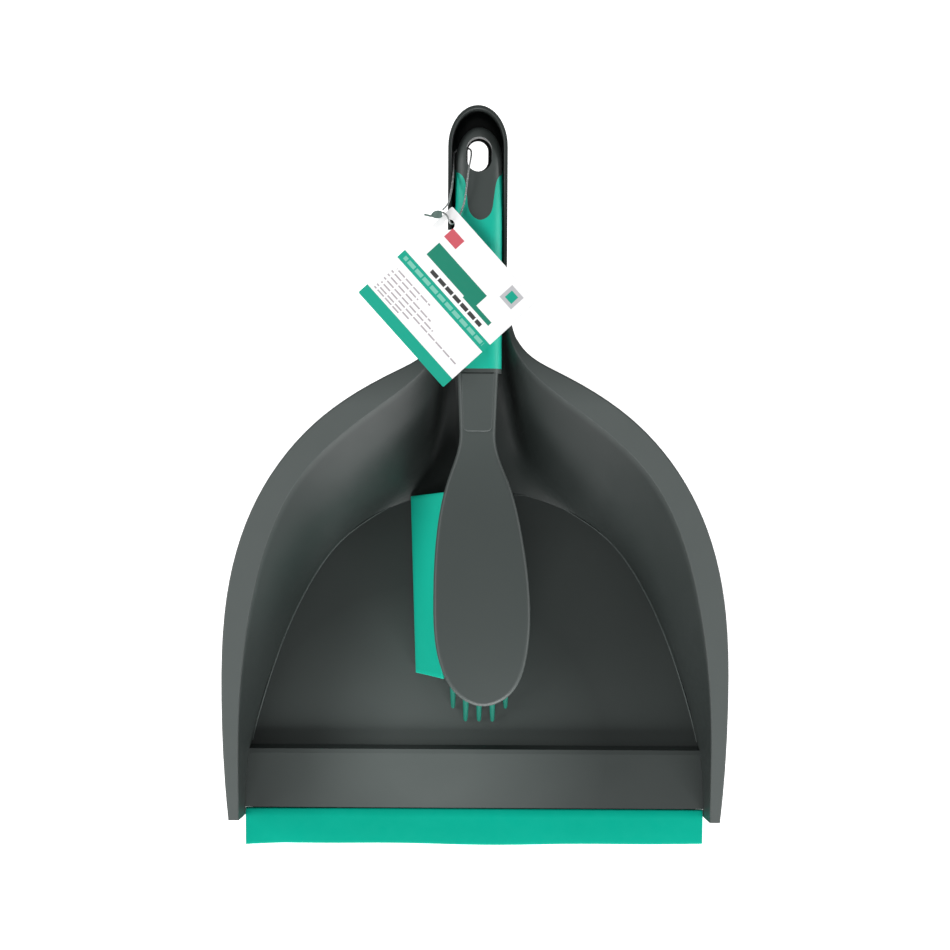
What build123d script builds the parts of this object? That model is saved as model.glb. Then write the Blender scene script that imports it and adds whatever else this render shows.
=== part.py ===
from build123d import *
import os
from math import cos, hypot, pi, radians, sin, tan

# Dust pan with a rubber hand brush stored in it and a swing card on the brush's end ring.
# Millimetres. +Z is up, +Y runs from the pan's lip to the end of its handle, and the origin is
# under the middle of the whole set, on the surface that it stands on.

# Driving dimensions of the pan
set_length = 330.0  # lip to handle end
pan_half_width = 113.0  # widest place of the rim flange
lip_y = -set_length / 2
handle_end_y = set_length / 2
wall = 2.0
front_y = lip_y + 14.0  # where the side walls end
rim_front_z = 26.0  # height of the rim at the side walls' front ends
rim_slope = 7.0  # degrees that the rim plane rises towards the handle
ridge_y = lip_y + 44.0  # top of the dirt-holding ridge
ridge_z = 6.2
lip_top_y = lip_y + 17.6  # rear edge of the lip's top face
lip_half_width = 104.2
channel_half_width = 13.0
channel_depth = 16.0
channel_wall = 1.7
channel_start_y = 48.0
ramp_edge_z = 3.4  # the ramp and the lip meet at this height
lip_tongue = (202.0, 7.0, 1.0)  # the ramp's front edge that the lip holds
lip_tongue_z = 1.4
handle_end_length = 17.8  # the handle's rounded end, a half ellipse
skirt_drop = 5.0  # the flange's down-turned edge
rim_rounding = 0.7
pan_hole = (9.0, 13.2)
pan_hole_y = 144.8

# Driving dimensions of the brush
gap = 0.3  # between the brush and the pan, and between the card and what it lies on
brush_x = 0.5  # the brush lies a little to one side in the channel
head_base_z = 28.5
neck_y = 23.5
grip_start_y = 51.0
collar_y = grip_start_y - 1.7
grip_end_y = 137.5
grip_half_width = 10.4
grip_above_rim = 3.5
grip_under_y = 60.0  # the handle's underside follows the channel's floor from here
ring_under_y = 128.0  # and rises to the thinner end ring from here
under_grip = gap - channel_depth
ring_end_y = 156.2
ring_end_length = 16.0  # the handle's rounded end, a half ellipse
ring_above_rim = 1.0
ring_thickness = 10.0
brush_hole = (11.1, 15.2)
brush_hole_y = 144.0
neck_under_z = 38.5
neck_panel_rise = 0.7
head_rounding = 1.8
core_half_width = 6.0
head_wall = 2.2
pocket_depth = 6.0
carrier_thickness = 2.0

# Driving dimensions of the rubber pad, its fingers and the squeegee
pad_thickness = 2.2
finger_pitch = 5.9
finger_rows = 14
finger_first_y = -91.5
finger_inset = 3.0
finger_min_x = -10.5
finger_middle_x = 1.9
finger_root_radius = 1.6
finger_tip_radius = 0.9
finger_floor_gap = 0.6
finger_lean = 0.68  # how far the foremost fingers lean forward, for each millimetre down
finger_spread = 0.006  # how far a finger leans sideways for each millimetre from the middle
leaning_rows = 3
squeegee_foot_z = 3.0
squeegee_top_z = 26.0
squeegee_thickness = 1.8

# Driving dimensions of the card and its loop
card_side = 55.3
card_thickness = 0.6
card_turn = -47.6  # degrees, of the card about its own normal
card_centre = (-12.8, 82.5)
card_hole_at = (-12.2, 113.7)
card_hole_radius = 2.3
card_above_rim = grip_above_rim + 2.0
loop_diameter = 0.8
lock_above_rim = card_above_rim + card_thickness + 0.4
lock_thickness = 2.0

os.makedirs("parts", exist_ok=True)
slope_cos = cos(radians(rim_slope))
slope_sin = sin(radians(rim_slope))


def rim_z(y):
    """Height of the rim plane at a place along the pan."""
    return rim_front_z + (y - front_y) * tan(radians(rim_slope))


def sloped_plane(front_z, degrees):
    """A plane that rises towards the handle from front_z at the side walls' front ends."""
    normal = (0, -sin(radians(degrees)), cos(radians(degrees)))
    return Plane(origin=(0, front_y, front_z), x_dir=(1, 0, 0), z_dir=normal)


rim_plane = sloped_plane(rim_front_z, rim_slope)


def on_rim(x, y):
    """Place on the rim plane that lies above the plan point x, y."""
    return (x, (y - front_y) / slope_cos)


def pushed(chain, push):
    """A chain of plan points, each moved by push to the right of the chain's direction."""
    moved = []
    for i, (x, y) in enumerate(chain):
        before = chain[max(i - 1, 0)]
        after = chain[min(i + 1, len(chain) - 1)]
        along = (after[0] - before[0], after[1] - before[1])
        size = hypot(*along)
        moved.append((x + push * along[1] / size, y - push * along[0] / size))
    return moved


def mix(first, second, shares):
    """A chain of plan points between two chains, each point by its own share of the way."""
    return [
        (a[0] + (b[0] - a[0]) * share, a[1] + (b[1] - a[1]) * share)
        for a, b, share in zip(first, second, shares)
    ]


def bowl_section(plane, chain, lead, end_tangent):
    """One closed level of the bowl: across the front, up the right side, across the back, and mirrored."""
    stretch = 1 / plane.z_dir.Z
    level = [(x, (y - front_y) * stretch) for x, y in chain]
    with BuildSketch(plane) as section:
        with BuildLine():
            Line((0, -lead), (level[0][0], -lead))
            Line((level[0][0], -lead), level[0])
            Spline(*level, tangents=((0, 1), end_tangent))
            Line(level[-1], (0, level[-1][1]))
            mirror(about=Plane.YZ)
        make_face()
    return section.sketch


# The bowl's inner surface, as plan points up the right side: at the floor, and at the rim, where
# the last points run into the handle's channel.
floor_chain = [
    (104.4, front_y),
    (101.5, -117),
    (86, -67),
    (66, -31),
    (42, -12),
    (22, -5),
    (8, -2.5),
]
rim_chain = [
    (105.6, front_y),
    (105.8, -105),
    (100, -50),
    (78.5, 4.6),
    (45, 35),
    (19, 57),
    (10.9, 84),
]
# Part of the way up, the side walls have hardly moved out: they are steep at the floor and flare
# out to the rim. Towards the handle the wall is a slope instead.
middle_height = 0.42
middle_chain = mix(floor_chain, rim_chain, (0.3, 0.25, 0.22, 0.24, 0.3, 0.45, 0.62))


def bowl_sections(push, floor_z, rim_lift, lead):
    """The bowl's three levels, pushed outwards by push."""
    floor_plane = sloped_plane(floor_z, 0)
    middle_plane = sloped_plane(floor_z + (rim_front_z - floor_z) * middle_height, rim_slope * middle_height)
    top_plane = sloped_plane(rim_front_z + rim_lift, rim_slope)
    levels = (
        (floor_plane, floor_chain, (-1, 0.1)),
        (middle_plane, middle_chain, (-0.6, 1)),
        (top_plane, rim_chain, (-0.1, 1)),
    )
    sections = []
    for plane, chain, end_tangent in levels:
        last_x, last_y = chain[-1]
        moved = pushed(chain, push)[:-1] + [(last_x + push, last_y + push)]
        sections.append(bowl_section(plane, moved, lead, end_tangent))
    return sections


# Working solids: the bowl's outside and the room inside it
with BuildPart() as bowl_room:
    loft(bowl_sections(0, wall, 1.5, 2.0))

with BuildPart() as bowl_block:
    loft(bowl_sections(wall, 0, -0.5, 1.0))
    split(bisect_by=Plane.XZ.offset(-front_y), keep=Keep.BOTTOM)


flange_chain = [
    (110.2, front_y),
    (pan_half_width, -95),
    (109, -42),
    (96.9, -6.7),
    (69.4, 28.5),
    (36, 49.7),
    (21, 59.3),
    (15.3, 68.5),
    (channel_half_width, 88),
]


def paddle_outline(inset, drop):
    """The pan's outer outline, drawn in by inset and lowered by drop: flange, flare and handle."""
    flange = [on_rim(x, y) for x, y in pushed(flange_chain, -inset)]
    flange[0] = (flange[0][0], 0)
    flange[-1] = on_rim(channel_half_width - inset, flange_chain[-1][1])
    corner = on_rim(channel_half_width - inset, handle_end_y - handle_end_length)
    end_length = (handle_end_length - inset) / slope_cos
    with BuildSketch(sloped_plane(rim_front_z - drop, rim_slope)) as outline:
        with BuildLine():
            Line((0, 0), flange[0])
            Spline(*flange, tangents=((0.1, 1), (0, 1)))
            Line(flange[-1], corner)
            EllipticalCenterArc((0, corner[1]), corner[0], end_length, start_angle=0, arc_size=90)
            mirror(about=Plane.YZ)
        make_face()
    return outline.sketch


def channel_outline(half_width, end_length):
    """The handle channel's plan on the rim plane, open into the bowl at its near end."""
    start = on_rim(half_width, channel_start_y)
    corner = on_rim(half_width, handle_end_y - handle_end_length)
    with BuildSketch(rim_plane) as outline:
        with BuildLine():
            Line((0, start[1]), start)
            Line(start, corner)
            EllipticalCenterArc(
                (0, corner[1]),
                half_width,
                end_length / slope_cos,
                start_angle=0,
                arc_size=90,
            )
            mirror(about=Plane.YZ)
        make_face()
    return outline.sketch


rim_up = Axis((0, 0, 0), (0, -slope_sin, slope_cos))
down = (0, 0, -1)

with BuildPart() as channel_block:
    extrude(channel_outline(channel_half_width, handle_end_length), amount=channel_depth + wall, dir=down)
    fillet(channel_block.faces().sort_by(rim_up)[0].edges().sort_by(Axis.Y)[1:], radius=5)

with BuildPart() as channel_room:
    extrude(
        channel_outline(channel_half_width - channel_wall, handle_end_length - channel_wall),
        amount=channel_depth,
        dir=down,
    )
    fillet(channel_room.faces().sort_by(rim_up)[0].edges().sort_by(Axis.Y)[1:], radius=3.6)
    extrude(channel_room.faces().sort_by(rim_up)[-1], amount=3)

with BuildPart() as flange:
    extrude(paddle_outline(0, 0), amount=skirt_drop, dir=down)
    fillet(flange.faces().sort_by(rim_up)[-1].edges().sort_by(Axis.Y)[1:], radius=rim_rounding)
    extrude(paddle_outline(wall, wall), amount=skirt_drop, dir=down, mode=Mode.SUBTRACT)

with BuildPart() as ramp_block:
    with BuildSketch(Plane.YZ) as ramp_side:
        with BuildLine():
            Polyline(
                (lip_top_y, 0),
                (lip_top_y, ramp_edge_z),
                (ridge_y - 1.5, ridge_z),
                (ridge_y + 0.5, ridge_z),
                (ridge_y + 2.5, wall / 2),
                (ridge_y + 2.5, 0),
                close=True,
            )
        make_face()
        fillet(ramp_side.vertices().group_by(Axis.Y)[1], radius=0.6)
    extrude(amount=lip_half_width + 0.6, both=True)
    add(bowl_block.part, mode=Mode.INTERSECT)

with BuildPart() as ramp_hollow:
    with BuildSketch(Plane.YZ) as hollow_side:
        with BuildLine():
            Polyline(
                (lip_top_y + 3, -1),
                (lip_top_y + 3, 1.6),
                (ridge_y - 2.2, ridge_z - wall),
                (ridge_y - 0.8, ridge_z - wall),
                (ridge_y + 0.6, -1),
                close=True,
            )
        make_face()
    extrude(amount=lip_half_width - wall, both=True)


def on_inner_rim(edge):
    """Whether an edge is where the flange turns down into the bowl or the channel."""
    heights = [abs(rim_plane.to_local_coords(edge @ place).Z) for place in (0, 0.3, 0.5, 1)]
    middle = Vertex(*(edge @ 0.5))
    to_room = min(room.part.distance_to(middle) for room in (bowl_room, channel_room))
    return max(heights) < 0.02 and to_room < 0.02


with BuildPart() as pan_body:
    add(flange.part)
    add(bowl_block.part)
    add(channel_block.part)
    add(bowl_room.part, mode=Mode.SUBTRACT)
    add(channel_room.part, mode=Mode.SUBTRACT)
    inner_rim = pan_body.edges().filter_by(on_inner_rim)
    fillet(inner_rim, radius=rim_rounding)
    add(ramp_block.part)
    add(ramp_hollow.part, mode=Mode.SUBTRACT)
    with Locations((0, (front_y + lip_top_y) / 2 - 1, 0)):
        Box(2 * lip_half_width + 0.4, lip_top_y - front_y + 2, 2 * ramp_edge_z, mode=Mode.SUBTRACT)
    with Locations((0, lip_top_y - lip_tongue[1] / 2, lip_tongue_z)):
        Box(*lip_tongue)
    with BuildSketch(Plane.XY) as pan_hole_plan:
        with Locations((0, pan_hole_y)):
            SlotOverall(pan_hole[1], pan_hole[0], rotation=90)
    extrude(amount=80, mode=Mode.SUBTRACT)
pan_body.part.label = "pan_body"

with BuildPart() as pan_lip:
    with BuildSketch(Plane.YZ) as lip_side:
        with BuildLine():
            Polyline(
                (lip_y, 0),
                (lip_y, 0.9),
                (lip_top_y, ramp_edge_z),
                (lip_top_y, 0),
                close=True,
            )
        make_face()
    extrude(amount=lip_half_width, both=True)
    with Locations((0, lip_top_y - lip_tongue[1] / 2, lip_tongue_z)):
        Box(*lip_tongue, mode=Mode.SUBTRACT)
pan_lip.part.label = "pan_lip"


# The brush. Its head, neck and handle are one plan outline cut by one side outline.
head_chain = [
    (8.4, neck_y),
    (14.3, 1.6),
    (20.6, -22.9),
    (24.3, -55),
    (22.8, -77),
    (15.7, -93.3),
    (3.2, -98.6),
    (-8, -93.5),
    (-15.5, -80.5),
    (-18.7, -52),
    (-17.7, -25.5),
    (-12.2, 3.4),
    (-7.4, neck_y),
]
grip_top_chain = [
    (collar_y, rim_z(collar_y) + grip_above_rim - 0.6),
    (80, rim_z(80) + grip_above_rim),
    (120, rim_z(120) + grip_above_rim - 0.6),
    (grip_end_y, rim_z(grip_end_y) + ring_above_rim),
]
head_top_chain = [
    (collar_y, rim_z(collar_y) + 1.6),
    (36, 48.6),
    (15, 44.2),
    (-15, 42.0),
    (-60, 40.6),
    (-100, 35.5),
]
tongue_chain = [
    (-10.6, 136.6),
    (-6.4, 134.0),
    (-5.0, 129.0),
    (-4.5, 123.5),
    (-3.2, 118.4),
    (0.9, 115.4),
    (5.2, 117.6),
    (6.8, 123.0),
    (7.6, 129.0),
    (8.7, 133.4),
    (11.8, 136.2),
]


def head_area(inset):
    """The head's plan outline, drawn in by inset, at the level of its open underside."""
    chain = pushed(head_chain, inset)
    with BuildSketch(Plane.XY.offset(head_base_z)) as area:
        with BuildLine():
            Spline(*chain, tangents=((-0.03, -1), (-0.03, 1)))
            Line(chain[-1], chain[0])
        make_face()
    return area.sketch


left_x = brush_x - grip_half_width
right_x = brush_x + grip_half_width
ring_corner_y = ring_end_y - ring_end_length

with BuildPart() as handle_blank:
    with BuildSketch(Plane.XY.offset(20)) as handle_plan_sketch:
        with BuildLine():
            Polyline(
                (left_x, ring_corner_y),
                (left_x, collar_y),
                (right_x, collar_y),
                (right_x, ring_corner_y),
            )
            EllipticalCenterArc(
                (brush_x, ring_corner_y),
                grip_half_width,
                ring_end_length,
                start_angle=0,
                arc_size=180,
            )
        make_face()
    extrude(amount=60)
    with BuildSketch(Plane.YZ.offset(-30)) as handle_side:
        ring_top = rim_z(ring_end_y) + ring_above_rim
        with BuildLine():
            Spline(*grip_top_chain, (ring_end_y + 1, ring_top))
            Polyline(
                (ring_end_y + 1, ring_top),
                (ring_end_y + 1, ring_top - ring_thickness),
                (grip_end_y, rim_z(grip_end_y) + ring_above_rim - ring_thickness),
                (ring_under_y, rim_z(ring_under_y) + under_grip),
                (grip_under_y, rim_z(grip_under_y) + under_grip),
                (collar_y, rim_z(grip_under_y) + under_grip),
                grip_top_chain[0],
            )
        make_face()
    extrude(amount=60, mode=Mode.INTERSECT)
    upper = handle_blank.edges().filter_by(lambda edge: edge.center().Z > 58 and edge.center().Y > 60)
    fillet(upper, radius=6)
    lower = handle_blank.edges().filter_by(
        lambda edge: edge.center().Z < 50 and edge.length > 60
    )
    fillet(lower, radius=4)

with BuildPart() as tongue_block:
    with BuildSketch(Plane.XY.offset(20)) as tongue_plan:
        with BuildLine():
            Spline(*tongue_chain)
            Polyline(tongue_chain[-1], (12, grip_end_y + 5), (-11, grip_end_y + 5), tongue_chain[0])
        make_face()
    extrude(amount=60)
    with BuildSketch(rim_plane.offset(-3)) as tongue_base:
        with Locations(on_rim(0, grip_end_y)):
            Rectangle(40, 80)
    extrude(amount=20, mode=Mode.INTERSECT)

with BuildPart() as brush_hole_block:
    with BuildSketch(Plane.XY) as brush_hole_plan:
        with Locations((brush_x, brush_hole_y)):
            SlotOverall(brush_hole[1], brush_hole[0], rotation=90)
    extrude(amount=90)

with BuildPart() as handle_collar:
    add(handle_blank.part)
    split(bisect_by=Plane.XZ.offset(-grip_start_y), keep=Keep.TOP)

with BuildPart() as handle_ring:
    add(handle_blank.part)
    split(bisect_by=Plane.XZ.offset(-grip_end_y), keep=Keep.BOTTOM)

with BuildPart() as handle_tongue:
    add(handle_blank.part)
    add(tongue_block.part, mode=Mode.INTERSECT)

# A slightly raised panel runs down the neck and ends where the head starts to widen.
with BuildPart() as neck_panel:
    with BuildSketch(Plane.XY.offset(neck_under_z + 1)) as panel_plan:
        with BuildLine():
            Polyline((-5.9, neck_y), (6.9, neck_y), (7.8, collar_y + 0.2), (-6.8, collar_y + 0.2), close=True)
        make_face()
        fillet(panel_plan.vertices().group_by(Axis.Y)[0], radius=2.6)
    extrude(amount=30)
    with BuildSketch(Plane.YZ.offset(-40)) as panel_side:
        raised = [(y, z + neck_panel_rise) for y, z in head_top_chain[:4]]
        with BuildLine():
            Spline(*raised)
            Polyline(raised[-1], (raised[-1][0], neck_under_z), (collar_y, neck_under_z), raised[0])
        make_face()
    extrude(amount=80, mode=Mode.INTERSECT)
    fillet(neck_panel.faces().sort_by(Axis.Z)[-1].edges(), radius=0.5)

with BuildPart() as brush_body:
    # head and neck
    with BuildSketch(Plane.XY.offset(head_base_z)) as head_plan:
        with BuildLine():
            Spline(*head_chain, tangents=((-0.03, -1), (-0.03, 1)))
            Polyline(head_chain[-1], (-8.4, collar_y), (9.4, collar_y), head_chain[0])
        make_face()
    extrude(amount=40)
    with BuildSketch(Plane.YZ.offset(-40)) as head_side:
        with BuildLine():
            Spline(*head_top_chain)
            Polyline(
                head_top_chain[-1],
                (head_top_chain[-1][0], head_base_z),
                (neck_y - 15, head_base_z),
                (collar_y, neck_under_z),
                head_top_chain[0],
            )
        make_face()
    extrude(amount=80, mode=Mode.INTERSECT)
    rim_edges = brush_body.edges().filter_by(
        lambda edge: edge.length > 60 and edge.center().Z > head_base_z + 3
    )
    fillet(rim_edges, radius=head_rounding)
    add(neck_panel.part)
    # pocket that the carrier closes
    extrude(head_area(head_wall), amount=pocket_depth, mode=Mode.SUBTRACT)

    # collar, hidden core, tongue and end ring
    with BuildSketch(rim_plane.offset(-1)) as core_plan:
        with Locations(on_rim(brush_x, (collar_y + grip_end_y) / 2 + 1)):
            Rectangle(2 * core_half_width, grip_end_y - collar_y + 4)
    extrude(amount=-10)
    add(handle_collar.part)
    add(handle_tongue.part)
    add(handle_ring.part)
    add(brush_hole_block.part, mode=Mode.SUBTRACT)
brush_body.part.label = "brush_body"

with BuildPart() as brush_grip:
    add(handle_blank.part)
    split(bisect_by=Plane.XZ.offset(-grip_start_y), keep=Keep.BOTTOM)
    split(bisect_by=Plane.XZ.offset(-grip_end_y), keep=Keep.TOP)
    add(brush_body.part, mode=Mode.SUBTRACT)
    add(brush_hole_block.part, mode=Mode.SUBTRACT)
brush_grip.part.label = "brush_grip"


with BuildPart() as bristle_carrier:
    extrude(head_area(head_wall + 0.1), amount=carrier_thickness)
bristle_carrier.part.label = "bristle_carrier"

# The squeegee is a flat flap that slopes from under the head out to the pan's floor.
squeegee_foot = (Vector(-28.5, -5.5, squeegee_foot_z), Vector(-25.8, -85.9, squeegee_foot_z))
squeegee_top = (Vector(-13.6, -87.0, squeegee_top_z), Vector(-13.6, -3.5, squeegee_top_z))
squeegee_plane = Plane(
    origin=squeegee_foot[0],
    x_dir=squeegee_foot[1] - squeegee_foot[0],
    z_dir=(squeegee_foot[1] - squeegee_foot[0]).cross(squeegee_top[1] - squeegee_foot[0]),
)

flap_corners = [squeegee_plane.to_local_coords(corner) for corner in squeegee_foot + squeegee_top]

with BuildPart() as squeegee_blade:
    with BuildSketch(squeegee_plane) as flap:
        with BuildLine():
            Polyline(*[(corner.X, corner.Y) for corner in flap_corners], close=True)
        make_face()
        fillet(flap.vertices().group_by(Axis.Y)[0], radius=1.5)
    extrude(amount=squeegee_thickness)
squeegee_blade.part.label = "squeegee_blade"

finger_area = head_area(finger_inset).face()
fingers = []
for row in range(finger_rows):
    row_y = finger_first_y + row * finger_pitch
    for column in range(-3, 4):
        rows_back = max(0.0, row - abs(column) / 2)  # behind the arc of the foremost fingers
        lean = max(0.0, 1 - rows_back / leaning_rows) * finger_lean
        foot = Vector(finger_middle_x + column * finger_pitch, row_y, head_base_z)
        if finger_area.is_inside(foot, 0.01) and foot.X > finger_min_x:
            fingers.append((foot, lean))

with BuildPart() as bristle_pad:
    extrude(head_area(head_wall + 0.6), amount=-pad_thickness)
    for foot, lean in fingers:
        down = Vector(finger_spread * (foot.X - finger_middle_x), -lean, -1).normalized()
        root = foot - Vector(0, 0, pad_thickness - 0.3)
        length = (root.Z - wall - finger_floor_gap) / -down.Z
        with Locations(Plane(origin=root, z_dir=down)):
            Cone(
                finger_root_radius,
                finger_tip_radius,
                length,
                align=(Align.CENTER, Align.CENTER, Align.MIN),
            )
    add(squeegee_blade.part, mode=Mode.SUBTRACT)
bristle_pad.part.label = "bristle_pad"

# The swing card lies just above the grip, in a plane that follows the rim's slope.
card_plane = rim_plane.offset(card_above_rim)

with BuildPart() as tag_card:
    with BuildSketch(card_plane) as card_face:
        with Locations(on_rim(*card_centre)):
            RectangleRounded(card_side, card_side, 0.6, rotation=card_turn)
        with Locations(on_rim(*card_hole_at)):
            Circle(card_hole_radius, mode=Mode.SUBTRACT)
    extrude(amount=card_thickness)
tag_card.part.label = "tag_card"

# The filament's route: plan places with heights above the rim plane. It runs from the lock down
# through the card's hole, up over the tongue, through the ring's hole, under and up round the
# ring's left side, and back over the card to the lock.
loop_route_above_rim = [
    (-15.2, 118.2, 7.5),
    (-13.0, 116.8, 8.3),
    (-12.1, 113.6, 6.6),
    (-10.6, 113.2, 3.6),
    (-8.4, 116.0, 3.6),
    (-6.2, 121.0, 4.0),
    (-5.2, 126.4, 4.0),
    (-4.6, 132.0, 3.6),
    (-3.9, 137.6, 3.0),
    (-3.0, 142.4, 0.4),
    (-2.8, 145.6, -4.6),
    (-3.6, 147.4, -9.6),
    (-7.0, 147.8, -11.9),
    (-10.2, 146.6, -10.2),
    (-10.6, 143.6, -6.2),
    (-10.6, 139.0, -2.5),
    (-10.7, 134.0, 0.4),
    (-11.2, 129.2, 3.4),
    (-12.0, 124.8, 6.2),
    (-12.8, 121.2, 8.2),
    (-15.2, 119.2, 7.5),
]
loop_route = [Vector(x, y, rim_z(y) + height) for x, y, height in loop_route_above_rim]


def bend_radii(route):
    """The largest arc that each corner's two runs leave room for."""
    radii = []
    for before, corner, after in zip(route, route[1:], route[2:]):
        run_in = corner - before
        run_out = after - corner
        half_turn = radians(run_in.get_angle(run_out)) / 2
        radii.append(0.45 * min(run_in.length, run_out.length) / tan(half_turn))
    return radii


loop_radii = bend_radii(loop_route)
with BuildPart() as tag_loop:
    with BuildLine():
        loop_path = FilletPolyline(*loop_route, radius=loop_radii)
    loop_length = loop_path.length
    with BuildSketch(Plane(origin=loop_path @ 0, z_dir=loop_path % 0)):
        Circle(loop_diameter / 2)
    sweep(path=loop_path)
tag_loop.part.label = "tag_loop"
print("tag_loop length", round(loop_length, 1), "radii", [round(radius, 1) for radius in loop_radii])
section = pi * loop_diameter**2 / 4
print("tag_loop volume over section times length", round(tag_loop.part.volume / section / loop_length, 3))

with BuildPart() as tag_lock:
    with BuildSketch(rim_plane.offset(lock_above_rim)) as lock_plan:
        lock_at = on_rim(-17.7, 118.0)
        with BuildLine():
            upper_side = ThreePointArc(
                (lock_at[0] + 2.35, lock_at[1] + 1.3),
                (lock_at[0], lock_at[1] + 1.8),
                (lock_at[0] - 2.4, lock_at[1] + 0.2),
            )
            lower_side = ThreePointArc(
                (lock_at[0] + 2.35, lock_at[1] - 0.9),
                (lock_at[0], lock_at[1] - 1.6),
                (lock_at[0] - 2.4, lock_at[1] - 0.6),
            )
            Line(upper_side @ 0, lower_side @ 0)
            Line(upper_side @ 1, lower_side @ 1)
        make_face()
        with Locations((lock_at[0] - 3.8, lock_at[1] - 0.3)):
            Rectangle(3.4, 0.8, rotation=-12)
    extrude(amount=lock_thickness)
tag_lock.part.label = "tag_lock"

pieces = [
    pan_body,
    pan_lip,
    brush_body,
    brush_grip,
    bristle_carrier,
    bristle_pad,
    squeegee_blade,
    tag_card,
    tag_loop,
    tag_lock,
]
for piece in pieces:
    export_step(piece.part, f"parts/{piece.part.label}.step")
    print(piece.part.label, piece.part.is_valid, len(piece.part.solids()), piece.part.bounding_box())
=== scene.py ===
from math import cos, pi, radians, sin, tan

import bmesh
import bpy
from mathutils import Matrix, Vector
from mathutils.geometry import delaunay_2d_cdt


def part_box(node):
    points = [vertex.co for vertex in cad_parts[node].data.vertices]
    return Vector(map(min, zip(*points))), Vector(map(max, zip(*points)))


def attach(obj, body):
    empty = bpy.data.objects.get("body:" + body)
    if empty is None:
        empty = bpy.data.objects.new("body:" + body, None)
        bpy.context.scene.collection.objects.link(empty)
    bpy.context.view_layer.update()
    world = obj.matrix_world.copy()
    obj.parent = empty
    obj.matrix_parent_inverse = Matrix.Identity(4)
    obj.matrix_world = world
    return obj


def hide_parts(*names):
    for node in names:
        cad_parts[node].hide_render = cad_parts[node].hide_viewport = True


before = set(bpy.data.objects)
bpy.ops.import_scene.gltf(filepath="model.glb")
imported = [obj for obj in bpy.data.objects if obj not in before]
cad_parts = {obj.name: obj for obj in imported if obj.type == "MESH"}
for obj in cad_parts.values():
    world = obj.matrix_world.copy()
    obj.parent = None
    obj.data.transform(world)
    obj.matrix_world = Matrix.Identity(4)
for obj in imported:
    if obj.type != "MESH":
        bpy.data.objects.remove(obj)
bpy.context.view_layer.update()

MM = 0.001

# How far a remade surface stays inside the face of its CAD solid, in millimetres
inside_cad = 0.02

# The rim plane rises from the side walls' front ends towards the handle.
rim_slope = radians(7.0)
rim_front_y = -151.0
rim_front_z = 26.0


def rim_z(y):
    """Height of the rim plane at a place along the pan, in millimetres."""
    return rim_front_z + (y - rim_front_y) * tan(rim_slope)


def above_rim(x, y, height):
    """Point in metres that stands height millimetres above the rim plane, over the plan point x, y."""
    return Vector((x, y - height * sin(rim_slope), rim_z(y) + height * cos(rim_slope))) * MM


# Camera: straight above the set with a long lens
camera_height = 1.3
camera_place = (-0.0005, 0.0043, camera_height)
camera_roll = radians(0.325)
view_width = 0.43415
sensor_width = 36.0
camera_data = bpy.data.cameras.new("camera")
camera_data.sensor_width = sensor_width
camera_data.lens = sensor_width * camera_height / view_width
camera = bpy.data.objects.new("camera", camera_data)
camera.location = camera_place
camera.rotation_euler = (0, 0, camera_roll)
bpy.context.collection.objects.link(camera)
bpy.context.scene.camera = camera


# Materials
class Nodes:
    """Short names for building one material's nodes."""

    def __init__(self, name):
        self.material = bpy.data.materials.new(name)
        self.material.use_nodes = True
        self.tree = self.material.node_tree
        self.shader = self.tree.nodes["Principled BSDF"]
        self.place = self.add("ShaderNodeTexCoord").outputs["Object"]

    def add(self, kind, **values):
        """A new node of a kind, with its settings."""
        node = self.tree.nodes.new(kind)
        for key, value in values.items():
            setattr(node, key, value)
        return node

    def link(self, start, end):
        self.tree.links.new(start, end)

    def noise(self, scale, detail=4.0, roughness=0.5, place=None):
        """Noise over the piece's own coordinates, or over another place."""
        node = self.add("ShaderNodeTexNoise")
        node.inputs["Scale"].default_value = scale
        node.inputs["Detail"].default_value = detail
        node.inputs["Roughness"].default_value = roughness
        self.link(place or self.place, node.inputs["Vector"])
        return node.outputs["Fac"]

    def stretched(self, scale):
        """The piece's own coordinates, scaled along each axis."""
        node = self.add("ShaderNodeMapping")
        node.inputs["Scale"].default_value = scale
        self.link(self.place, node.inputs["Vector"])
        return node.outputs["Vector"]

    def spread(self, source, low, high, start=0.3, end=0.7):
        """Maps a value from start..end to low..high, held at both ends."""
        node = self.add("ShaderNodeMapRange")
        node.inputs["From Min"].default_value = start
        node.inputs["From Max"].default_value = end
        node.inputs["To Min"].default_value = low
        node.inputs["To Max"].default_value = high
        self.link(source, node.inputs["Value"])
        return node.outputs["Result"]

    def blend(self, factor, first, second):
        """Mixes two colours, each a plain colour or another node's output."""
        node = self.add("ShaderNodeMix", data_type="RGBA")
        for socket, value in (("A", first), ("B", second)):
            target = [s for s in node.inputs if s.name == socket and s.type == "RGBA"][0]
            if isinstance(value, tuple):
                target.default_value = (*value, 1)
            else:
                self.link(value, target)
        self.link(factor, node.inputs["Factor"])
        return [s for s in node.outputs if s.name == "Result" and s.type == "RGBA"][0]

    def math(self, operation, first, second):
        """One arithmetic step on two values, each a number or another node's output."""
        node = self.add("ShaderNodeMath", operation=operation)
        for index, value in enumerate((first, second)):
            if isinstance(value, (int, float)):
                node.inputs[index].default_value = value
            else:
                self.link(value, node.inputs[index])
        return node.outputs["Value"]

    def bump(self, height, strength, distance, below=None):
        """Relief from a height, laid over the relief below it."""
        node = self.add("ShaderNodeBump")
        node.inputs["Strength"].default_value = strength
        node.inputs["Distance"].default_value = distance
        self.link(height, node.inputs["Height"])
        if below is not None:
            self.link(below, node.inputs["Normal"])
        return node.outputs["Normal"]


def toned(colour, share):
    """The colour with each part scaled by share."""
    return tuple(part * share for part in colour)


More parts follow.
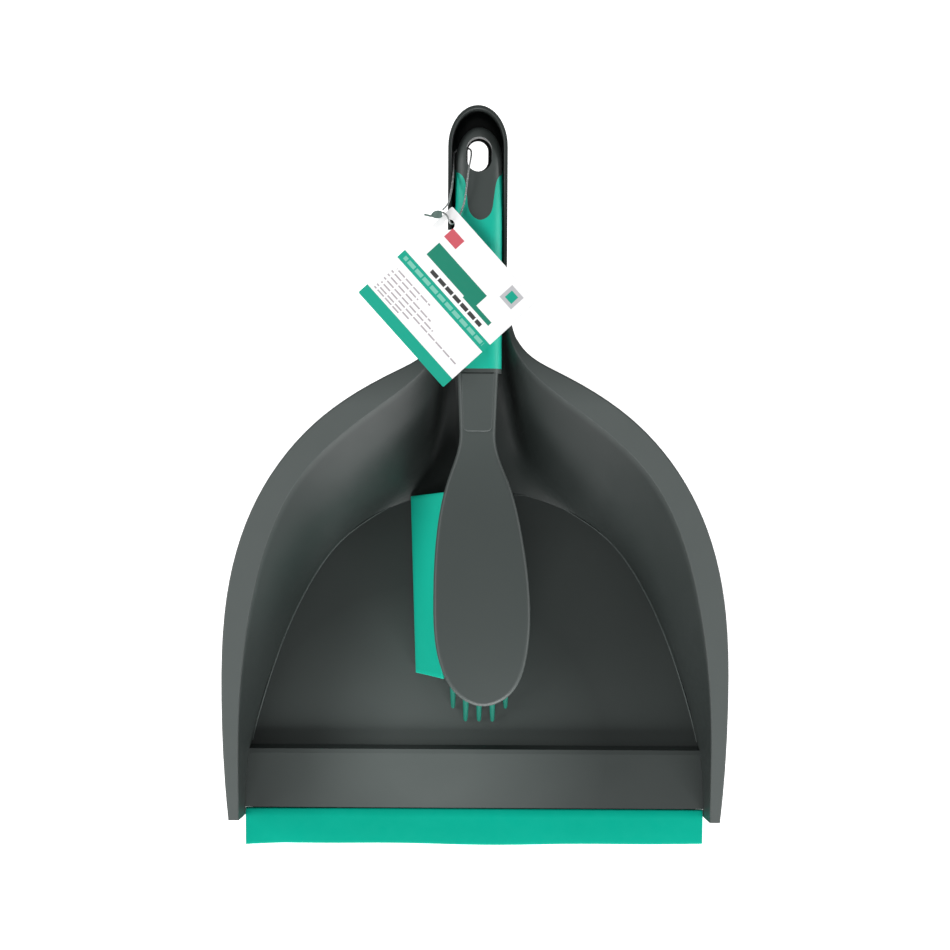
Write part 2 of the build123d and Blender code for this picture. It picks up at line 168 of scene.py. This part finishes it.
def grey_plastic(name, depth):
    """Satin polypropylene: fine spark-eroded grain, faint flow marks and scuffs. Depth scales its tone."""
    n = Nodes(name)
    broad = n.noise(9, 3)
    cloud = n.noise(60, 5, 0.6)
    plain, lighter = toned((0.072, 0.087, 0.083), depth), toned((0.08, 0.095, 0.091), depth)
    tint = n.blend(n.spread(broad, 0.0, 1.0), plain, lighter)
    tint = n.blend(n.spread(cloud, 0.0, 0.3), tint, toned((0.066, 0.08, 0.076), depth))
    scuffs = n.noise(26, 8, 0.75, n.stretched((1, 0.35, 1)))
    tint = n.blend(n.spread(scuffs, 0.0, 0.25, 0.62, 0.8), tint, toned((0.11, 0.125, 0.12), depth))
    n.link(n.spread(cloud, 0.42, 0.5), n.shader.inputs["Roughness"])
    grain = n.noise(2600, 2)
    flow = n.noise(1, 4, 0.5, n.stretched((40, 260, 40)))
    normal = n.bump(grain, 0.2, 0.00006)
    normal = n.bump(flow, 0.05, 0.0002, normal)
    n.link(normal, n.shader.inputs["Normal"])
    n.shader.inputs["Specular IOR Level"].default_value = 0.35
    n.link(tint, n.shader.inputs["Base Color"])
    return n, tint


def pan_plastic():
    """The pan's plastic, its colour graded by place to stand for light and shade.

    The flange and the front of the floor are lighter; steep walls and the way to the channel are deeper.
    """
    n, tint = grey_plastic("pan_plastic", 0.46)
    deep = (0.012, 0.016, 0.015)
    height = n.add("ShaderNodeVectorMath", operation="DOT_PRODUCT")
    height.inputs[1].default_value = (0, -sin(rim_slope), cos(rim_slope))
    n.link(n.place, height.inputs[0])
    level = rim_front_z * MM * cos(rim_slope) - rim_front_y * MM * sin(rim_slope)
    on_flange = n.spread(height.outputs["Value"], 0.0, 1.0, level - 2.2 * MM, level - 0.5 * MM)
    split = n.add("ShaderNodeSeparateXYZ")
    n.link(n.place, split.inputs["Vector"])
    on_flange = n.math("MULTIPLY", on_flange, n.spread(split.outputs["Y"], 1.0, 0.0, 0.035, 0.065))
    from_front = n.add("ShaderNodeVectorMath", operation="DISTANCE")
    from_front.inputs[1].default_value = (-0.02, -0.125, 0)
    n.link(n.place, from_front.inputs[0])
    at_front = n.spread(from_front.outputs["Value"], 1.0, 0.0, 0.02, 0.08)
    tint = n.blend(at_front, tint, (0.08, 0.094, 0.09))
    tint = n.blend(n.spread(split.outputs["Y"], 0.0, 0.42, -0.03, 0.03), tint, deep)
    tint = n.blend(on_flange, tint, (0.079, 0.091, 0.088))
    facing = n.add("ShaderNodeSeparateXYZ")
    n.link(n.add("ShaderNodeTexCoord").outputs["Normal"], facing.inputs["Vector"])
    steep = n.spread(facing.outputs["Z"], 0.68, 0.0, 0.84, 0.95)
    n.link(n.blend(steep, tint, deep), n.shader.inputs["Base Color"])
    return n.material


def teal_rubber(name, tone, gloss):
    """Thermoplastic rubber: even colour with a faint bloom and a soft, slightly pebbled skin."""
    n = Nodes(name)
    broad = n.noise(14, 3)
    fine = n.noise(240, 4, 0.6)
    plain, lighter = toned((0.0, 0.31, 0.215), tone), toned((0.0, 0.34, 0.24), tone)
    tint = n.blend(n.spread(broad, 0.0, 1.0), plain, lighter)
    tint = n.blend(n.spread(fine, 0.0, 0.15), tint, toned((0.004, 0.37, 0.265), tone))
    n.link(tint, n.shader.inputs["Base Color"])
    n.link(n.spread(fine, 0.46, 0.58), n.shader.inputs["Roughness"])
    pebble = n.noise(3200, 2)
    normal = n.bump(pebble, 0.18, 0.00005)
    normal = n.bump(n.noise(130, 3), 0.07, 0.0002, normal)
    n.link(normal, n.shader.inputs["Normal"])
    n.shader.inputs["Specular IOR Level"].default_value = gloss
    return n.material


def clear_nylon():
    """Drawn nylon filament: clear, with faint lengthwise variation."""
    n = Nodes("clear_nylon")
    fine = n.noise(900, 3)
    tint = n.blend(n.spread(fine, 0.0, 1.0), (0.26, 0.28, 0.275), (0.34, 0.36, 0.355))
    n.link(tint, n.shader.inputs["Base Color"])
    n.link(n.spread(fine, 0.18, 0.3), n.shader.inputs["Roughness"])
    n.shader.inputs["Transmission Weight"].default_value = 0.4
    n.shader.inputs["IOR"].default_value = 1.53
    return n.material


def lock_plastic():
    """Small glossy moulding in muted green grey."""
    n = Nodes("lock_plastic")
    fine = n.noise(500, 3)
    tint = n.blend(n.spread(fine, 0.0, 1.0), (0.09, 0.14, 0.125), (0.13, 0.19, 0.17))
    n.link(tint, n.shader.inputs["Base Color"])
    n.link(n.spread(fine, 0.25, 0.38), n.shader.inputs["Roughness"])
    n.link(n.bump(n.noise(1500, 2), 0.15, 0.00005), n.shader.inputs["Normal"])
    return n.material


def printed_card(blocks, lines):
    """White coated card. Its print is plain rectangles in the card's own UV square; lines are dashed."""
    n = Nodes("white_card")
    uv = n.add("ShaderNodeUVMap", uv_map="face").outputs["UV"]
    split = n.add("ShaderNodeSeparateXYZ")
    n.link(uv, split.inputs["Vector"])
    across, along = split.outputs["X"], split.outputs["Y"]
    fibre = n.noise(700, 4, 0.6)
    tint = n.blend(n.spread(fibre, 0.0, 1.0), (0.9, 0.9, 0.905), (0.93, 0.93, 0.935))
    dashes = n.math("LESS_THAN", n.math("FRACT", n.math("MULTIPLY", across, 11.5), 0), 0.84)
    for marks, is_dashed in ((blocks, False), (lines, True)):
        for low_x, low_y, high_x, high_y, ink in marks:
            inside = n.math("GREATER_THAN", across, low_x)
            inside = n.math("MULTIPLY", inside, n.math("LESS_THAN", across, high_x))
            inside = n.math("MULTIPLY", inside, n.math("GREATER_THAN", along, low_y))
            inside = n.math("MULTIPLY", inside, n.math("LESS_THAN", along, high_y))
            if is_dashed:
                inside = n.math("MULTIPLY", inside, dashes)
            tint = n.blend(inside, tint, ink)
    n.link(tint, n.shader.inputs["Base Color"])
    n.link(n.spread(fibre, 0.42, 0.55), n.shader.inputs["Roughness"])
    n.link(n.bump(fibre, 0.05, 0.00002), n.shader.inputs["Normal"])
    return n.material


# One grey and one teal in several tones, which differ by piece to stand for light and shade
pan_finish = pan_plastic()
brush_finish = grey_plastic("brush_plastic", 0.7)[0].material
bead_finish = grey_plastic("edge_plastic", 0.9)[0].material
lip_rubber = teal_rubber("lip_rubber", 0.93, 0.06)
grip_rubber = teal_rubber("grip_rubber", 1.3, 0.4)
flap_rubber = teal_rubber("flap_rubber", 1.35, 0.3)
finger_rubber = teal_rubber("finger_rubber", 0.34, 0.3)
nylon = clear_nylon()
lock_finish = lock_plastic()

for node, finish in (
    ("pan_body", pan_finish),
    ("brush_body", brush_finish),
    ("bristle_carrier", brush_finish),
    ("brush_grip", grip_rubber),
    ("tag_lock", lock_finish),
):
    for material_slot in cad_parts[node].material_slots:
        material_slot.material = finish

# The card's filament: plan places in millimetres with heights above the rim plane
loop_route_above_rim = [
    (-15.2, 118.2, 7.5),
    (-13.0, 116.8, 8.3),
    (-12.1, 113.6, 6.6),
    (-10.6, 113.2, 3.6),
    (-8.4, 116.0, 3.6),
    (-6.2, 121.0, 4.0),
    (-5.2, 126.4, 4.0),
    (-4.6, 132.0, 3.6),
    (-3.9, 137.6, 3.0),
    (-3.0, 142.4, 0.4),
    (-2.8, 145.6, -4.6),
    (-3.6, 147.4, -9.6),
    (-7.0, 147.8, -11.9),
    (-10.2, 146.6, -10.2),
    (-10.6, 143.6, -6.2),
    (-10.6, 139.0, -2.5),
    (-10.7, 134.0, 0.4),
    (-11.2, 129.2, 3.4),
    (-12.0, 124.8, 6.2),
    (-12.8, 121.2, 8.2),
    (-15.2, 119.2, 7.5),
]
loop_diameter = 0.8 * MM


def filament():
    """The nylon loop as one NURBS curve with the route's corners as its control points."""
    curve = bpy.data.curves.new("tag_loop_filament", "CURVE")
    curve.dimensions = "3D"
    curve.bevel_depth = loop_diameter / 2
    curve.bevel_resolution = 4
    curve.resolution_u = 10
    spline = curve.splines.new("NURBS")
    spline.points.add(len(loop_route_above_rim) - 1)
    for point, (x, y, height) in zip(spline.points, loop_route_above_rim):
        point.co = (x * MM, y * MM, (rim_z(y) + height) * MM, 1)
    spline.order_u = 3
    spline.use_endpoint_u = True
    piece = bpy.data.objects.new("tag_loop_filament", curve)
    bpy.context.collection.objects.link(piece)
    piece.data.materials.append(nylon)
    return piece


loop = filament()
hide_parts("tag_loop")
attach(loop, "brush")


def add_piece(name, shape, finish, body, replaced):
    """Makes a smooth-shaded piece from a filled bmesh, in place of a CAD node."""
    bmesh.ops.recalc_face_normals(shape, faces=shape.faces)
    mesh = bpy.data.meshes.new(name)
    shape.to_mesh(mesh)
    shape.free()
    for face in mesh.polygons:
        face.use_smooth = True
    mesh.materials.append(finish)
    piece = bpy.data.objects.new(name, mesh)
    bpy.context.collection.objects.link(piece)
    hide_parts(replaced)
    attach(piece, body)
    return piece


def skin_rings(shape, rings):
    """Joins rings of points into a closed skin, with one face as a cap at each end."""
    loops = [[shape.verts.new(point) for point in ring] for ring in rings]
    for near, far in zip(loops, loops[1:]):
        for i in range(len(near)):
            j = (i + 1) % len(near)
            shape.faces.new((near[i], near[j], far[j], far[i]))
    shape.faces.new(loops[0][::-1])
    shape.faces.new(loops[-1])


def round_edges(piece, width):
    """Rounds a piece's sharp edges."""
    modifier = piece.modifiers.new("rounded_edges", "BEVEL")
    modifier.width = width
    modifier.segments = 2
    modifier.limit_method = "ANGLE"
    modifier.angle_limit = radians(35)


# The pan's rubber lip: a soft wedge with a slightly wavy front edge
lip_low, lip_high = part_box("pan_lip")
lip_stations = 90
lip_rear_groove = 0.25 * MM


def lip_wave(share):
    """How far the front edge is drawn back at a share of the way from left to right."""
    return (0.55 + 0.32 * sin(7.3 * share + 0.6) + 0.2 * sin(17.0 * share + 2.0) + 0.35 * share) * MM


def lip_profile(share):
    """One upright cut through the lip, as (y, z) points from its rear foot round to its rear top."""
    # The wave fades in over the first twelfth of the lip.
    front = lip_low.y + lip_wave(share) * min(1.0, 12 * share)
    rear = lip_high.y - 0.4 * MM
    top = lip_high.z - inside_cad * MM
    tip = 0.85 * MM
    swell = 0.05 * MM * sin(23.0 * share)
    slope = (top - tip) / (rear - front)
    return [
        (rear, 0.05 * MM),
        (front + 1.0 * MM, 0.05 * MM),
        (front + 0.25 * MM, 0.12 * MM),
        (front, 0.4 * MM),
        (front + 0.25 * MM, tip - 0.05 * MM),
        (front + 1.2 * MM, tip + slope * 1.2 * MM),
        (front + 6 * MM, tip + slope * 6 * MM + swell),
        (rear - 4 * MM, top - slope * 4 * MM + swell),
        (rear - 0.7 * MM, top - slope * 0.7 * MM),
        (rear - 0.2 * MM, top - lip_rear_groove),
        (rear, top - 3 * lip_rear_groove),
    ]


def rubber_lip():
    """The lip's skin, from its left end to its right."""
    shape = bmesh.new()
    rings = []
    for i in range(lip_stations + 1):
        share = i / lip_stations
        x = lip_low.x + (lip_high.x - lip_low.x) * share
        rings.append([(x, y, z) for y, z in lip_profile(share)])
    skin_rings(shape, rings)
    return shape


lip = add_piece("pan_lip_strip", rubber_lip(), lip_rubber, "pan", "pan_lip")
round_edges(lip, 0.25 * MM)


def smooth_loop(points, steps):
    """Closed run of points through the given ones, by Catmull-Rom pieces."""
    smooth = []
    count = len(points)
    for i in range(count):
        a, b, c, d = (Vector(points[(i + k) % count]) for k in (-1, 0, 1, 2))
        for step in range(steps):
            t = step / steps
            bend = (2 * a - 5 * b + 4 * c - d) * t**2 + (3 * b - a - 3 * c + d) * t**3
            smooth.append((2 * b + (c - a) * t + bend) / 2)
    return smooth


# A thin moulded bead follows the foot of the bowl's wall, half of it given here from front to back.
bead_half = [
    (104.4, -151.0),
    (101.5, -117.0),
    (86.0, -67.0),
    (66.0, -31.0),
    (42.0, -12.0),
    (22.0, -5.0),
]
bead_front_y = -118.0
bead_radius = 0.4
bead_z = 2.0
bead_full_x = 70.0
bead_least_share = 0.2


def wall_bead():
    """The bead as a curve that gets thinner towards the back."""
    whole = bead_half + [(-x, y) for x, y in reversed(bead_half)]
    run = [point for point in smooth_loop(whole, 12) if point.y > bead_front_y]
    curve = bpy.data.curves.new("wall_bead", "CURVE")
    curve.dimensions = "3D"
    curve.bevel_depth = bead_radius * MM
    curve.bevel_resolution = 3
    spline = curve.splines.new("POLY")
    spline.points.add(len(run) - 1)
    for place, point in zip(spline.points, run):
        place.co = (point.x * MM, point.y * MM, bead_z * MM, 1)
        place.radius = min(1.0, max(bead_least_share, abs(point.x) / bead_full_x))
    piece = bpy.data.objects.new("wall_bead", curve)
    bpy.context.collection.objects.link(piece)
    curve.materials.append(bead_finish)
    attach(piece, "pan")


wall_bead()

# The brush head's plan outline: from the neck down its right side, round the tip and up its left side
head_outline = [
    (8.4, 23.5),
    (14.3, 1.6),
    (20.6, -22.9),
    (24.3, -55),
    (22.8, -77),
    (15.7, -93.3),
    (3.2, -98.6),
    (-8, -93.5),
    (-15.5, -80.5),
    (-18.7, -52),
    (-17.7, -25.5),
    (-12.2, 3.4),
    (-7.4, 23.5),
]


def drawn_in(loop_points, inset):
    """A clockwise closed run of plan points, drawn in by inset."""
    moved = []
    count = len(loop_points)
    for i, point in enumerate(loop_points):
        along = (loop_points[(i + 1) % count] - loop_points[i - 1]).normalized()
        moved.append(point + Vector((along.y, -along.x)) * inset)
    return moved


def is_inside(point, loop_points):
    """Whether a plan point is inside a closed run of plan points."""
    inside = False
    count = len(loop_points)
    for i in range(count):
        a, b = loop_points[i], loop_points[(i + 1) % count]
        if (a.y > point.y) != (b.y > point.y):
            if point.x < a.x + (point.y - a.y) / (b.y - a.y) * (b.x - a.x):
                inside = not inside
    return inside


# The rubber pad with its fingers
head_base_z = 28.5
pad_inset = 2.9
pad_thickness = 2.2
finger_pitch = 5.9
finger_rows = 14
finger_first_y = -91.5
finger_inset = 3.0
finger_min_x = -10.5
finger_middle_x = 1.9
finger_root_radius = 1.55
finger_tip_radius = 0.98
finger_end_z = 2.7
finger_root_sink = 0.4
finger_lean = 0.68
leaning_rows = 3
finger_sides = 14
finger_sway = 0.25
pad_edge_softening = 0.5


def finger_rings(x, y, lean, phase):
    """Rings down one finger: a flared root, a straight taper and a round tip."""
    root_z = head_base_z - pad_thickness + finger_root_sink
    drop = root_z - finger_end_z
    rings = []
    for depth, radius in (
        (0.0, finger_root_radius + 0.9),
        (0.02, finger_root_radius + 0.35),
        (0.06, finger_root_radius),
        (0.3, 1.45),
        (0.6, 1.25),
        (0.85, 1.08),
        (0.94, finger_tip_radius),
        (0.975, 0.7),
        (0.993, 0.38),
        (1.0, 0.08),
    ):
        sway = finger_sway * sin(phase) * depth**2
        centre = Vector((x + sway, y - lean * drop * depth**1.1, root_z - drop * depth))
        rings.append(
            [
                (centre + Vector((cos(turn), sin(turn), 0)) * radius) * MM
                for turn in (2 * pi * i / finger_sides for i in range(finger_sides))
            ]
        )
    return rings


def finger_pad():
    """The pad's plate and every finger that fits inside its outline."""
    shape = bmesh.new()
    outline = smooth_loop(head_outline, 6)
    plate = drawn_in(outline, pad_inset)
    softer = drawn_in(outline, pad_inset + pad_edge_softening)
    top_z, under_z = head_base_z - inside_cad, head_base_z - pad_thickness
    skin_rings(
        shape,
        [
            [(p.x * MM, p.y * MM, z * MM) for p in ring]
            for ring, z in ((plate, top_z), (plate, under_z + pad_edge_softening), (softer, under_z))
        ],
    )
    room = drawn_in(outline, finger_inset)
    for row in range(finger_rows):
        y = finger_first_y + row * finger_pitch
        for column in range(-3, 4):
            x = finger_middle_x + column * finger_pitch
            if x > finger_min_x and is_inside(Vector((x, y)), room):
                rows_back = max(0.0, row - abs(column) / 2)
                lean = max(0.0, 1 - rows_back / leaning_rows) * finger_lean
                skin_rings(shape, finger_rings(x, y, lean, 3.7 * row + 1.9 * column))
    return shape


add_piece("finger_pad", finger_pad(), finger_rubber, "brush", "bristle_pad")

# The squeegee flap slopes out from under the head down to the floor.
flap_foot = (Vector((-28.5, -5.5, 3.0)), Vector((-25.8, -85.9, 3.0)))
flap_top = (Vector((-13.6, -3.5, 26.0)), Vector((-13.6, -87.0, 26.0)))
flap_outwards = Vector((-0.84, 0.03, 0.54))
flap_thickness = 1.3
flap_foot_swell = 0.3
flap_stations = 40
flap_rows = 10


def flap_point(along, down_share, side):
    """Point of the flap in millimetres; side 1 is its outer face and 0 its inner one."""
    top = flap_top[0].lerp(flap_top[1], along)
    foot = flap_foot[0].lerp(flap_foot[1], along)
    thickness = flap_thickness + flap_foot_swell * down_share**6
    return top.lerp(foot, down_share) + flap_outwards * thickness * side


def squeegee_flap():
    """The flap's skin, from its back end to the end by the head's tip."""
    shape = bmesh.new()
    rings = []
    for i in range(flap_stations + 1):
        along = i / flap_stations
        inner = [flap_point(along, k / flap_rows, 0) for k in range(flap_rows + 1)]
        outer = [flap_point(along, k / flap_rows, 1) for k in range(flap_rows + 1)]
        rings.append([point * MM for point in inner + outer[::-1]])
    skin_rings(shape, rings)
    return shape


flap = add_piece("squeegee_flap", squeegee_flap(), flap_rubber, "brush", "squeegee_blade")
round_edges(flap, 0.35 * MM)

# The swing card
card_side = 55.3
card_thickness = 0.45
card_turn = radians(-47.6)
card_above_rim = 5.55
card_centre = Vector((-12.8, 82.5))
card_hole_at = Vector((-12.2, 113.7))
card_hole_radius = 2.3
card_hole_steps = 32
card_corner = 0.7
card_grid = 22
card_right_curl = 1.5
card_left_dip = 0.7
teal_ink = (0.003, 0.36, 0.25)
green_ink = (0.008, 0.22, 0.14)
dark_ink = (0.045, 0.045, 0.045)
grey_ink = (0.42, 0.38, 0.4)
frame_ink = (0.5, 0.5, 0.52)
pale_ink = (0.2, 0.55, 0.44)
red_ink = (0.6, 0.1, 0.13)

# Print, as (left, low, right, high, ink) in shares of the card's sides
print_blocks = [
    (0.0, 0.0, 1.0, 0.097, teal_ink),
    (0.0, 0.415, 1.0, 0.497, teal_ink),
    (0.14, 0.6, 0.7, 0.735, green_ink),
    (0.58, 0.585, 0.88, 0.622, green_ink),
    (0.13, 0.795, 0.265, 0.89, red_ink),
    (0.77, 0.805, 0.905, 0.94, frame_ink),
    (0.8, 0.835, 0.875, 0.91, teal_ink),
]
print_lines = [
    (0.04, 0.441, 0.96, 0.473, pale_ink),
    (0.26, 0.525, 0.84, 0.558, dark_ink),
]
for height, start, end in (
    (0.345, 0.07, 0.455),
    (0.305, 0.05, 0.36),
    (0.265, 0.05, 0.55),
    (0.225, 0.05, 0.62),
    (0.187, 0.06, 0.93),
    (0.15, 0.05, 0.42),
    (0.122, 0.05, 0.33),
):
    print_lines.append((start, height, end, height + 0.012, grey_ink))


def card_share(plan_point):
    """A plan point as shares along the card's two sides."""
    away = plan_point - card_centre
    along = Vector((cos(card_turn), sin(card_turn)))
    return Vector((away.dot(along), away.dot(Vector((-along.y, along.x))))) / card_side + Vector((0.5, 0.5))


def card_point(share, lift):
    """Place in metres of a point of the card, which curls up at its right and dips at its low left."""
    offset = (share - Vector((0.5, 0.5))) * card_side
    x = card_centre.x + offset.x * cos(card_turn) - offset.y * sin(card_turn)
    y = card_centre.y + offset.x * sin(card_turn) + offset.y * cos(card_turn)
    curl = card_right_curl * max(0.0, share.x - 0.2) ** 2
    dip = card_left_dip * (1 - share.x) ** 2 * (1 - share.y) ** 2
    return above_rim(x, y, card_above_rim + (curl - dip) + lift)


def corner_arc(centre, start_turn, radius, steps=5):
    """Points round one rounded corner of the card, in shares."""
    turns = (start_turn + pi / 2 * i / steps for i in range(steps + 1))
    return [centre + Vector((cos(turn), sin(turn))) * radius for turn in turns]


def card_outline():
    """The card's outer edge as shares, anticlockwise, with even steps along its sides."""
    radius = card_corner / card_side
    far = 1 - radius
    outline = []
    for quarter, corner in enumerate(((far, far), (radius, far), (radius, radius), (far, radius))):
        outline += corner_arc(Vector(corner), quarter * pi / 2, radius)
        leave = outline[-1]
        ahead = Vector((cos(quarter * pi / 2 + pi), sin(quarter * pi / 2 + pi)))
        run = 1 - 2 * radius
        outline += [leave + ahead * run * i / card_grid for i in range(1, card_grid)]
    return outline


def card_sheet():
    """The card as two triangulated faces joined along its edge and round its punched hole."""
    shape = bmesh.new()
    uv_layer = shape.loops.layers.uv.new("face")
    outline = card_outline()
    hole_middle = card_share(card_hole_at)
    hole_radius = card_hole_radius / card_side
    hole_turns = (-2 * pi * i / card_hole_steps for i in range(card_hole_steps))
    hole = [hole_middle + Vector((cos(turn), sin(turn))) * hole_radius for turn in hole_turns]
    inner = [
        Vector((i / card_grid, k / card_grid))
        for i in range(1, card_grid)
        for k in range(1, card_grid)
        if (Vector((i / card_grid, k / card_grid)) - hole_middle).length > hole_radius * 1.35
    ]
    points = outline + hole + inner
    edges = [(i, (i + 1) % len(outline)) for i in range(len(outline))]
    first = len(outline)
    edges += [(first + i, first + (i + 1) % len(hole)) for i in range(len(hole))]
    flat_points, _, triangles, *_ = delaunay_2d_cdt(points, edges, [], 1, 1e-6)
    upper = [shape.verts.new(card_point(share, card_thickness)) for share in flat_points]
    lower = [shape.verts.new(card_point(share, 0)) for share in flat_points]
    share_of = dict(zip(upper + lower, flat_points + flat_points))
    for a, b, c in triangles:
        middle = (flat_points[a] + flat_points[b] + flat_points[c]) / 3
        if (middle - hole_middle).length > hole_radius * 0.97:
            shape.faces.new((upper[a], upper[b], upper[c]))
            shape.faces.new((lower[c], lower[b], lower[a]))
    rim = [edge for edge in shape.edges if len(edge.link_faces) == 1]
    pairs = dict(zip(upper, lower))
    for edge in rim:
        start, end = edge.verts
        if start in pairs and end in pairs:
            shape.faces.new((start, end, pairs[end], pairs[start]))
    for face in shape.faces:
        for corner in face.loops:
            corner[uv_layer].uv = share_of[corner.vert]
    return shape


card_finish = printed_card(print_blocks, print_lines)
card = add_piece("swing_card", card_sheet(), card_finish, "tag", "tag_card")
for face in card.data.polygons:
    face.use_smooth = False


def lit_floor():
    """Near-white floor that glows enough to read as a plain background."""
    n = Nodes("floor")
    n.shader.inputs["Base Color"].default_value = (0.93, 0.93, 0.93, 1)
    n.shader.inputs["Roughness"].default_value = 0.9
    n.shader.inputs["Emission Color"].default_value = (1, 1, 1, 1)
    n.shader.inputs["Emission Strength"].default_value = 0.75
    return n.material


# Floor, light and background
floor_reach = 3
floor_corners = [(x * floor_reach, y * floor_reach, 0) for x, y in ((-1, -1), (1, -1), (1, 1), (-1, 1))]
floor_mesh = bpy.data.meshes.new("floor")
floor_mesh.from_pydata(floor_corners, [], [(0, 1, 2, 3)])
floor = bpy.data.objects.new("floor", floor_mesh)
bpy.context.collection.objects.link(floor)
floor.data.materials.append(lit_floor())


def soft_light(name, turn, rise, distance, width, height, power):
    """A large soft light, turn degrees round from +X and rise degrees up, aimed at the bowl."""
    target = Vector((0, -0.03, 0.03))
    turn, rise = radians(turn), radians(rise)
    away = Vector((cos(turn) * cos(rise), sin(turn) * cos(rise), sin(rise)))
    data = bpy.data.lights.new(name, "AREA")
    data.shape = "RECTANGLE"
    data.size = width
    data.size_y = height
    data.energy = power
    light = bpy.data.objects.new(name, data)
    light.location = target + away * distance
    light.rotation_euler = (-away).to_track_quat("-Z", "Y").to_euler()
    bpy.context.collection.objects.link(light)


soft_light("front", turn=-82, rise=16, distance=1.4, width=1.6, height=0.4, power=36)
soft_light("right", turn=-4, rise=11, distance=1.4, width=1.4, height=0.3, power=12)
soft_light("left", turn=184, rise=27, distance=1.4, width=1.4, height=0.4, power=14)
soft_light("back", turn=100, rise=35, distance=1.5, width=1.2, height=0.6, power=5)
world = bpy.data.worlds.new("studio")
world.use_nodes = True
world.node_tree.nodes["Background"].inputs["Color"].default_value = (1, 1, 1, 1)
world.node_tree.nodes["Background"].inputs["Strength"].default_value = 0.2
bpy.context.scene.world = world
bpy.context.scene.view_settings.view_transform = "Standard"
